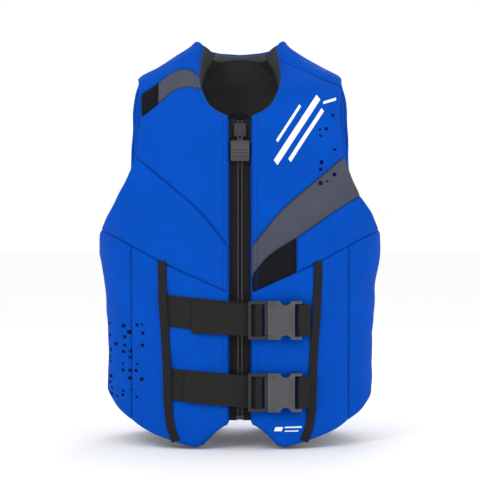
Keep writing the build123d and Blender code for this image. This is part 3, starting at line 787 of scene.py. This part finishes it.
def edgeRoll(name, line, material, slot, towards, closed=True, prouder=0.0):
    # a soft D section round an edge, as deep as the wall is there; towards is the way out at its lowest place
    line = np.vstack([line, line[:1]]) if closed else line
    line = evenly(line * flat, int(lengthOf(line) / rolls["pitch"]) + 1) / flat
    line = line[:-1] if closed else line
    q, z = (smoothed(line * flat, 3, closed) / flat).T
    spots, normals = formPoint(q, z), formNormal(q, z)
    ahead = np.roll(spots, -1, 0) - np.roll(spots, 1, 0) if closed else np.gradient(spots, axis=0)
    outwards = unit(np.cross(smoothed(unit(ahead), 2, closed), normals))
    outwards = outwards * np.sign(outwards[np.argmin(z)] @ np.asarray(towards, float))
    x, front = np.abs(spots[:, 0]), np.abs(q) > 1
    thin = front & (x > outline["sideFront"] + 2) & (z < rolls["thinFront"])
    thin = thin | ~front & (x > outline["sideBack"] - 1) & (z < rolls["thinBack"])
    byZip = front & (x < rolls["zipReach"]) & (z > rolls["zipLow"]) & (z < rolls["zipHigh"])
    deep = np.where(byZip, rolls["zip"], np.where(thin & closed, rolls["thin"], rolls["full"]))
    deep = smoothed(deep, 6, closed)
    t = np.linspace(0, 1, 11)
    bulge = (rolls["proud"] + prouder) * np.sin(np.pi * t) ** rolls["fullness"] - rolls["sunk"]
    across = np.r_[bulge, np.full(3, -rolls["under"])]
    down = np.r_[t, 0.9, 0.5, 0.1]
    top = rolls["top"] - prouder / 2 if closed or prouder else rolls["turnTop"]
    lifts = -(top + (deep[:, None] - top) * down[None])
    section = np.stack([np.broadcast_to(across, lifts.shape), lifts], -1)
    thing = swept(name, spots, outwards, normals, section, closed)
    return finish(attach(thing, "vest"), material, slot)


def mainOutline():
    # round the hem from the zip's left edge, up the right edge, along the collar and down to the start
    left, right, innerLeft, innerRight = (seams[name + side] for name in ("hem", "inner")
                                          for side in ("Left", "Right"))
    hem = [beyond(left, innerLeft), beyond(right, innerRight)[::-1][1:]]
    rightEdge = piece(innerRight, meet(innerRight, right), atCollar("Right"))
    leftEdge = piece(innerLeft, atCollar("Left"), meet(innerLeft, left))
    top = collarLine(rightEdge[-1, 0], leftEdge[0, 0])
    return np.vstack([*hem, rightEdge[1:], top[1:], leftEdge[1:-1]])


mainEdge = edgeRoll("edge_main", mainOutline(), *blue, (0, 0, -1))


def linedAbove(thing, height, fromColumn, columns):
    # above a height, the section's inner columns take the lining's knit
    mesh = thing.data
    mesh.materials.append(liningKnit)
    spots = np.empty(3 * len(mesh.vertices))
    mesh.vertices.foreach_get("co", spots)
    z = spots.reshape(-1, columns, 3)[..., 2] / mm
    inside = np.arange(columns) >= fromColumn
    mesh.polygons.foreach_set("material_index", ((z > height) & inside[None]).astype(np.int32).ravel())


linedAbove(mainEdge, rolls["linedAbove"], 2, 14)
for side, word, hand in hands:
    loop = np.vstack([seams["armFront" + side], seams["armBack" + side][::-1][1:-1]])
    edgeRoll("edge_arm_" + word, loop, *blue, (0, 0, 1))
    # the lining turned over the pads' edges beside the thin side panels
    for place, seam, top in (("front", "sideFront", "belly"), ("back", "sideBack", "armBack")):
        line = between(seams[seam + side], seams["hem" + side], seams[top + side])
        edgeRoll(f"lining_turn_{place}_{word}", line, liningKnit, "lining_knit", (hand, 0, 0), False)

# black binding along the hem's lowest stretches, a little prouder than the fabric's own roll
bindings = {"front": (46, 102), "back": (32, 110), "prouder": 0.8}
for side, word, _ in hands:
    for end, whole in (("front", "hem" + side), ("back", "hemBack" + side)):
        half = curved(outline["hem" + end.title()], 480)[:, 0]
        low, high = np.interp(bindings[end], half, np.arange(480))
        strip = edgeRoll(f"binding_{end}_{word}_strip", piece(seams[whole], low, high), bindingWeave,
                         "binding_tape", (0, 0, -1), False, bindings["prouder"])
        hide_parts(f"binding_{end}_{word}")
print("edges done")


# webbing
strap = {
    "width": 38.0, "thick": 1.7, "step": 1.5, "corner": 0.5, "lift": 1.5, "end": 19.5, "places": 80,
    "tailThick": 1.6, "tailLift": 3.7, "tailSlack": 0.5, "tailEnd": 12.5, "tailRise": 0.55, "tailPlaces": 60,
    "clear": 1.15, "clearShort": 1.2, "sewn": (89.0, 79.0), "sewnLifts": (-1.5, -1.4),
}
plane = {"x": 41.0, "tilt": np.radians(4.5)}
bars = {"middle": (-22.5, -15.5, 5.0, 7.4), "loop": (28.0, 31.4, 3.8, 7.2)}  # ends along the belt, then out


def strapSection(width, thick, corner):
    # a flat oblong with cut corners and a slightly crowned top
    w, t = width / 2, thick / 2
    return np.array([(-w, -t + corner), (-w + corner, -t), (-w / 2, -t), (0, -t), (w / 2, -t),
                     (w - corner, -t), (w, -t + corner), (w, t - corner), (w - corner, t), (w / 2, t * 1.06),
                     (0, t * 1.1), (-w / 2, t * 1.06), (-w + corner, t), (-w, t - corner)])


def onBuckle(belt, along, up, out):
    # a place in a buckle's own plane: along the belt, up it, and out of the chest
    z = belts[belt]["z"]
    q = inFront(np.array([[plane["x"], z]]))[0, 0]
    start = formPoint(np.array(q), np.array(z))
    c, s = np.cos(plane["tilt"]), np.sin(plane["tilt"])
    along, up, out = (np.asarray(v, float)[..., None] for v in (along, up, out))
    return start + along * np.array([c, s, 0]) + up * np.array([0, 0, 1.0]) + out * np.array([s, -c, 0])


def frontSpots(x, z, lift):
    q = inFront(np.stack([x, z], -1))[:, 0]
    return lifted(q, z, lift)


def ribbon(name, path, thick, body, node):
    # webbing along a path, with its width kept as upright as the path lets it
    path = smoothed(evenly(path, max(8, int(runAlong(path)[-1] / strap["step"]))), 2, False)
    ahead = unit(np.gradient(path, axis=0))
    up = np.array([0, 0, 1.0]) * np.ones_like(path)
    across = unit(up - ahead * (up * ahead).sum(-1, keepdims=True))
    section = strapSection(strap["width"], thick, strap["corner"])
    thing = swept(name, path, across, unit(np.cross(ahead, across)), section)
    return finish(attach(thing, body), webbingWeave, "black_webbing", node)


for belt, place in belts.items():
    x = np.linspace(beltEnds["start"], strap["end"], strap["places"])
    path = frontSpots(x, beltHeight(belt, x), np.full(len(x), strap["lift"]))
    ribbon(belt + "_strap", path, strap["thick"], "vest", belt + "_belt_long")
    x = np.linspace(place["tailStart"], strap["tailEnd"], strap["tailPlaces"])
    share = (strap["tailEnd"] - x) / (strap["tailEnd"] - place["tailStart"])
    z = place["z"] + (place["rise"] * strap["tailRise"] + place["tailShift"]) * share
    run = frontSpots(x, z, strap["tailLift"] + strap["tailSlack"] * np.sin(np.pi * share) * share)
    near, far, low, high = bars["middle"]
    g = strap["clear"]
    hook = onBuckle(belt, [-27, near - g, near - g, near, far, far + g, far + g, far, near + 1.2], 0,
                    [3.75, 4.6, high, high + g, high + g, high, low, low - g, low - g])
    ribbon(belt + "_tail", np.vstack([run, hook]), strap["tailThick"], belt + "_plug", belt + "_belt_tail")
    sewn = frontSpots(np.array(strap["sewn"]), np.full(2, place["z"]), strap["sewnLifts"])
    near, far, low, high = bars["loop"]
    g = strap["clearShort"]
    hook = onBuckle(belt, [44, 33, far, near, near - g, near - g, near, far, far + g, 34.6, 42], 0,
                    [1.0, 2.1, low - g, low - g, low, high, high + g, high + g, high, 4.2, 3.0])
    ribbon(belt + "_short", np.vstack([sewn, hook]), strap["tailThick"], "vest", belt + "_belt_short")
print("straps done")

# front bands over the belts' sewn ends
bands = {"line": [(94, 226), (91, 165), (87, 105), (86, 60), (83, 30), (76, 10)], "width": 11.0, "thick": 2.0,
         "corner": 0.7, "off": 0.9, "lowest": 0.4, "rise": 4.0, "reach": 23.5, "ramp": 5.0, "stitchIn": 1.6}
bandRows = []
for _, word, hand in hands:
    line = evenly(curved(bands["line"]), 150)
    line[:, 0] *= hand
    q, z = inFront(line)[:, 0], line[:, 1]
    lift = np.maximum(standOff(q, z)[0] + bands["off"], bands["lowest"])
    for belt in belts:
        over = (bands["reach"] + bands["ramp"] - np.abs(z - beltHeight(belt, line[:, 0]))) / bands["ramp"]
        over = np.clip(over, 0, 1)
        over = over * over * (3 - 2 * over)
        lift = lift * (1 - over) + bands["rise"] * over
    spots, normals = formPoint(q, z), formNormal(q, z)
    centres = smoothed(spots + normals * lift[:, None], 2, False)
    ahead = unit(np.gradient(centres, axis=0))
    across = unit(np.cross(ahead, normals))
    outward = unit(np.cross(across, ahead))
    section = strapSection(bands["width"], bands["thick"], bands["corner"])
    band = swept("band_strip_" + word, centres, across, outward, section)
    finish(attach(band, "vest"), bindingWeave, "binding_tape", "band_" + word)
    outward = outward * np.sign((outward * normals).sum(-1, keepdims=True))
    for edge in (-1, 1):
        rim = across * edge * (bands["width"] / 2 - bands["stitchIn"])
        bandRows.append((centres + rim + outward * (bands["thick"] / 2), outward))
print("bands done")


# moulded parts and tapes: merged copies of the CAD nodes with rounded edges
def softCopy(node, material, slot, body, rounding, segments=2, planar=False):
    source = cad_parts[node]
    mesh = source.data.copy()
    mesh.transform(source.matrix_world)
    bm = bmesh.new()
    bm.from_mesh(mesh)
    bmesh.ops.remove_doubles(bm, verts=bm.verts, dist=0.00001)
    bmesh.ops.dissolve_limit(bm, angle_limit=np.radians(1.0), verts=bm.verts, edges=bm.edges)
    bmesh.ops.recalc_face_normals(bm, faces=bm.faces)
    bm.to_mesh(mesh)
    bm.free()
    thing = bpy.data.objects.new(node + "_form", mesh)
    bpy.context.scene.collection.objects.link(thing)
    if planar:
        while mesh.uv_layers:
            mesh.uv_layers.remove(mesh.uv_layers[0])
        layer = mesh.uv_layers.new(name="UVMap")
        corners = np.empty(len(mesh.loops), np.int32)
        mesh.loops.foreach_get("vertex_index", corners)
        spots = np.empty(3 * len(mesh.vertices), np.float32)
        mesh.vertices.foreach_get("co", spots)
        spots = spots.reshape(-1, 3)[corners]
        flatPlaces = np.stack([spots[:, 2], spots[:, 0] + 0.6 * spots[:, 1]], -1)
        layer.data.foreach_set("uv", flatPlaces.astype(np.float32).ravel())
    mesh.shade_smooth()
    mesh.set_sharp_from_angle(angle=np.radians(35))
    bevel = thing.modifiers.new("Soft edges", "BEVEL")
    bevel.width, bevel.segments, bevel.limit_method = rounding * mm, segments, "ANGLE"
    bevel.angle_limit = np.radians(35)
    bevel.harden_normals = True
    return finish(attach(thing, body), material, slot, node)


for belt in belts:
    softCopy(belt + "_buckle_socket", bucklePlastic, "buckle_plastic", "vest", 0.8, 3)
    softCopy(belt + "_buckle_plug", framePlastic, "buckle_plastic", belt + "_plug", 0.5, 3)
    for name in ("top", "bottom"):
        softCopy(f"{belt}_prong_{name}", framePlastic, "buckle_plastic", f"{belt}_latch_{name}", 0.4, 3)
for word in ("left", "right"):
    softCopy("zip_tape_" + word, tapeWeave, "zip_tape", "vest", 0.15, 2, True)
    softCopy("zip_teeth_" + word, zipPlastic, "zip_plastic", "vest", 0.15, 2)
softCopy("zip_box", zipPlastic, "zip_plastic", "vest", 0.4)
softCopy("zip_top_stops", zipPlastic, "zip_plastic", "vest", 0.3)
softCopy("zip_slider", sliderMetal, "zip_metal", "slider", 0.35, 3)
softCopy("zip_pull_link", sliderMetal, "zip_metal", "pull", 0.3, 3)
softCopy("zip_pull_tab", tabRubber, "tab_rubber", "pull", 0.9, 3)


# a soft flap behind the zip, rounded at the top where it shelters the slider
flap = {"left": 12.4, "right": -15.5, "low": 38.0, "top": 407.0, "front": -91.2, "thick": 2.2, "corner": 11.0}


def flapMesh():
    # an upright strip whose width closes in along a quarter circle near the top
    z = np.r_[np.linspace(flap["low"], flap["top"] - flap["corner"], 110), flap["top"] - flap["corner"]
              + flap["corner"] * np.sin(np.linspace(0.08, 0.5 * np.pi, 14))]
    short = np.clip((z - flap["top"] + flap["corner"]) / flap["corner"], 0, 1)
    drawn = flap["corner"] * (1 - np.sqrt(1 - np.minimum(short, 0.999) ** 2))
    u = np.linspace(0, 1, 15)[None]
    left, right = (flap["left"] - drawn)[:, None], (flap["right"] + drawn)[:, None]
    x = right + (left - right) * u
    bow = 0.5 * np.sin(np.pi * u) + 0.12 * np.sin(z[:, None] / 17)
    y = vestForm["middle"] + flap["front"] + bow + 0 * x
    z = z[:, None] + 0 * x
    front, back = np.stack([x, y, z], -1), np.stack([x, y + flap["thick"], z], -1)
    verts, faces = closedShell(front, back)
    cloth = np.stack([x, z], -1).reshape(-1, 2)
    return verts, faces, np.vstack([cloth, cloth])


verts, faces, cloth = flapMesh()
flapPiece = newObject("zip_flap", verts, faces, cloth, attribute=np.full(len(verts), farFromSeam))
finish(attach(flapPiece, "vest"), blackKnit, "black_knit")


# raised grips on the buckle sockets
socketTop = 13.6


def raised(name, parts, material, slot, body):
    # rounded low blocks: (along, up) middles and sizes in a buckle's plane, and how high they stand
    turn = np.linspace(0, 2 * np.pi, 20, endpoint=False)
    verts, faces = [], []
    for number, (belt, middle, size, height) in enumerate(parts):
        a, b = size[0] / 2, size[1] / 2
        r = min(a, b) * 0.55
        ring = np.stack([np.sign(np.cos(turn)) * (a - r) + r * np.cos(turn),
                         np.sign(np.sin(turn)) * (b - r) + r * np.sin(turn)], -1)
        for shrink, out in ((1, -0.3), (1, height * 0.5), (0.93, height * 0.9), (0.8, height)):
            edge = ring * shrink if min(a, b) > 3 else ring - np.sign(ring) * (1 - shrink) * 2
            along, up = (np.array(middle) + edge).T
            verts.append(onBuckle(belt, along, up, socketTop + out + 0 * turn))
        faces += tubeFaces(4, 20, 80 * number)
    thing = newObject(name, np.vstack(verts), faces, smooth=50)
    return finish(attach(thing, body), material, slot)


grips = []
for belt in belts:
    grips += [(belt, (5.0, 0), (17, 27), 0.7), (belt, (18.6, 0), (2.2, 30), 0.8),
              (belt, (22.0, 0), (1.6, 32), 0.6)]
    grips += [(belt, (-5.8 + 3.0 * k, hand * 19.2), (1.1, 4.4), 0.5) for k in range(3) for hand in (-1, 1)]
raised("socket_grips", grips, bucklePlastic, "buckle_plastic", "vest")
print("moulded parts done")


# stitching: short capsules along each row, raised a little from what they hold
def capsules(name, rows, sizes, material, slot):
    # a capsule is four six-sided rings: two small ends and two full middles
    pitch, length, radius = sizes
    turn = np.linspace(0, 2 * np.pi, 6, endpoint=False)
    rings = [(-0.5, 0.45), (-0.32, 1.0), (0.32, 1.0), (0.5, 0.45)]
    form = np.array([(a * length, r * radius * np.cos(t), r * radius * np.sin(t))
                     for a, r in rings for t in turn])
    verts = []
    for spots, outward in rows:
        along = runAlong(spots)
        want = np.arange(pitch / 2, along[-1] - pitch / 3, pitch)
        before, centre, after = (np.stack([np.interp(want + step, along, c) for c in spots.T], -1)
                                 for step in (-0.3, 0, 0.3))
        up = unit(np.stack([np.interp(want, along, c) for c in outward.T], -1))
        ahead = unit(after - before)
        side = unit(np.cross(up, ahead))
        v = centre[:, None] + ahead[:, None] * form[None, :, :1] + side[:, None] * form[None, :, 1:2]
        verts.append((v + up[:, None] * (form[None, :, 2:] + 0.1)).reshape(-1, 3))
    verts = np.vstack(verts)
    faces = [face for start in range(0, len(verts), len(form)) for face in tubeFaces(4, 6, start)]
    return finish(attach(newObject(name, verts, faces), "vest"), material, slot)


stitches = {"bands": (2.6, 2.0, 0.28), "zip": (2.8, 2.2, 0.26), "zipIn": 5.5}  # pitch, length and radius
threadBlack = wovenMaterial("threadBlack", (0.02, 0.02, 0.024), 0.0008, strength=0.3)
threadBlue = wovenMaterial("threadBlue", (0.002, 0.05, 0.36), 0.0008, strength=0.3)
capsules("stitches_bands", bandRows, stitches["bands"], threadBlack, "binding_tape")
zipRows = []
for side, _, _ in hands:
    row = seams["inner" + side].copy()
    row[:, 0] -= np.sign(row[:, 0]) * stitches["zipIn"] / flat[0]
    q, z = piece(row, meet(row, seams["hem" + side]) + 6, atCollar(side) - 4).T
    zipRows.append((lifted(q, z, standOff(q, z)[0]), formNormal(q, z)))
capsules("stitches_zip_edges", zipRows, stitches["zip"], threadBlue, "blue_knit")
print("stitching done")


# printed bars and flecks, as thin films on the fabric
films = {"above": 0.12, "below": 0.3, "spacing": 2.2}


def film(corners, front):
    # a four-cornered print: corners as (sideways, up), filled evenly and laid on the fabric
    c = np.asarray(corners, float)
    long, wide = np.linalg.norm(c[1] - c[0]), np.linalg.norm(c[3] - c[0])
    columns, rows = (max(3, int(size / films["spacing"])) for size in (long, wide))
    u, v = np.linspace(0, 1, columns)[None, :, None], np.linspace(0, 1, rows)[:, None, None]
    flatGrid = (1 - v) * ((1 - u) * c[0] + u * c[1]) + v * ((1 - u) * c[3] + u * c[2])
    spots = inFront(flatGrid.reshape(-1, 2)) if front else behind(flatGrid.reshape(-1, 2))
    grid = spots.reshape(rows, columns, 2)
    base, _ = standOff(grid[..., 0], grid[..., 1])
    return betweenLifts(grid, base + films["above"], base - films["below"])


def printed(name, shapes, material, slot, front):
    thing = newObject(name, *merged([film(corners, front) for corners in shapes]))
    return finish(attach(thing, "vest"), material, slot)


def bar(x, z, long, wide, angle, lean=0.35):
    # a slanted bar: its length along the angle, its ends leaning
    c, s = np.cos(np.radians(angle)), np.sin(np.radians(angle))
    ahead, up = np.array([c, s]), np.array([-s, c])
    middle = np.array([x, z])
    return [middle - ahead * long / 2 - up * wide / 2, middle + ahead * long / 2 - up * wide / 2,
            middle + ahead * (long / 2 + lean * wide) + up * wide / 2,
            middle - ahead * (long / 2 - lean * wide) + up * wide / 2]


chestPrint = [bar(68, 384, 96, 7, 57), bar(79, 378, 74, 4.5, 57), bar(58, 392, 52, 3.2, 57),
              bar(108, 421, 17, 3.2, 20), bar(45, 25, 9, 5, 0), bar(63, 27, 20, 1.8, 0),
              bar(61, 22.5, 16, 1.4, 0)]
backPrint = [bar(-34, 426, 150, 9, -8), bar(-22, 411, 120, 5, -8), bar(-50, 440, 92, 3.6, -8),
             bar(-96, 404, 34, 3.2, -8), bar(58, 40, 17, 1.3, 12), bar(60, 32, 17, 1.3, 12),
             bar(50.5, 34.5, 8.5, 1.3, 100, 0), bar(67.5, 38, 8.5, 1.3, 100, 0), bar(82, 45, 22, 2, 12),
             bar(81, 40, 16, 1.4, 12)]
printed("print_chest", chestPrint, printFilm, "blue_knit", True)
printed("print_back", backPrint, printFilm, "blue_knit", False)


def flecks(low, high, pitch, chance):
    # squares of mixed size near the places of a square grid, each kept by chance
    spots = []
    for x in np.arange(low[0], high[0], pitch):
        for z in np.arange(low[1], high[1], pitch):
            if rng.uniform() < chance:
                size = rng.uniform(2.4, 4.8)
                spots.append(bar(x + rng.uniform(-1.5, 1.5), z + rng.uniform(-1.5, 1.5), size, size, 0, 0))
    return spots


frontFlecks = flecks((-158, 60), (-117, 152), 8.0, 0.42) + flecks((97, 322), (121, 408), 8.0, 0.3)
backFlecks = flecks((22, 352), (118, 404), 8.0, 0.36) + flecks((-110, 360), (10, 392), 9.0, 0.12)
backFlecks += flecks((-120, 448), (-72, 464), 8.0, 0.5) + flecks((-151, 236), (-126, 300), 7.5, 0.34)
for spots, word in ((frontFlecks, "front"), (backFlecks, "back")):
    printed("flecks_" + word, spots, fleckFilm, "blue_knit", word == "front")
print("prints done")

# floor, camera and light
studio = {"lens": 112, "distance": 1.9, "height": 0.252, "floor": 0.97, "floorSize": 60, "world": 1.0}
bpy.ops.mesh.primitive_plane_add(size=studio["floorSize"])
floor = bpy.context.object
floor.name = "floor"
floor.data.materials.append(Shading("floorPaint", (studio["floor"],) * 3, 0.9).material)
world = bpy.data.worlds.new("studio")
world.use_nodes = True
sky = world.node_tree.nodes["Background"].inputs
sky[0].default_value, sky[1].default_value = (1, 1, 1, 1), studio["world"]
bpy.context.scene.world = world
lamps = {  # place, aim, size and power
    "key": ((-0.9, -1.5, 1.5), (0, 0, 0.28), 0.9, 9),
    "fill": ((1.3, -1.3, 0.7), (0, 0, 0.25), 1.1, 3),
    "back": ((0.4, 1.5, 1.4), (0, 0, 0.3), 0.9, 7),
}
for name, (place, aim, size, power) in lamps.items():
    lamp = bpy.data.lights.new(name, "AREA")
    lamp.shape, lamp.size, lamp.energy = "DISK", size, power
    light = bpy.data.objects.new(name, lamp)
    light.location = place
    light.rotation_euler = (Vector(aim) - Vector(place)).to_track_quat("-Z", "Y").to_euler()
    bpy.context.scene.collection.objects.link(light)
cam = bpy.data.cameras.new("camera")
cam.lens = studio["lens"]
camera = bpy.data.objects.new("camera", cam)
camera.location = (0, -studio["distance"], studio["height"])
camera.rotation_euler = (np.pi / 2, 0, 0)
bpy.context.scene.collection.objects.link(camera)
bpy.context.scene.camera = camera
bpy.context.scene.view_settings.view_transform = "Standard"
print("studio done")
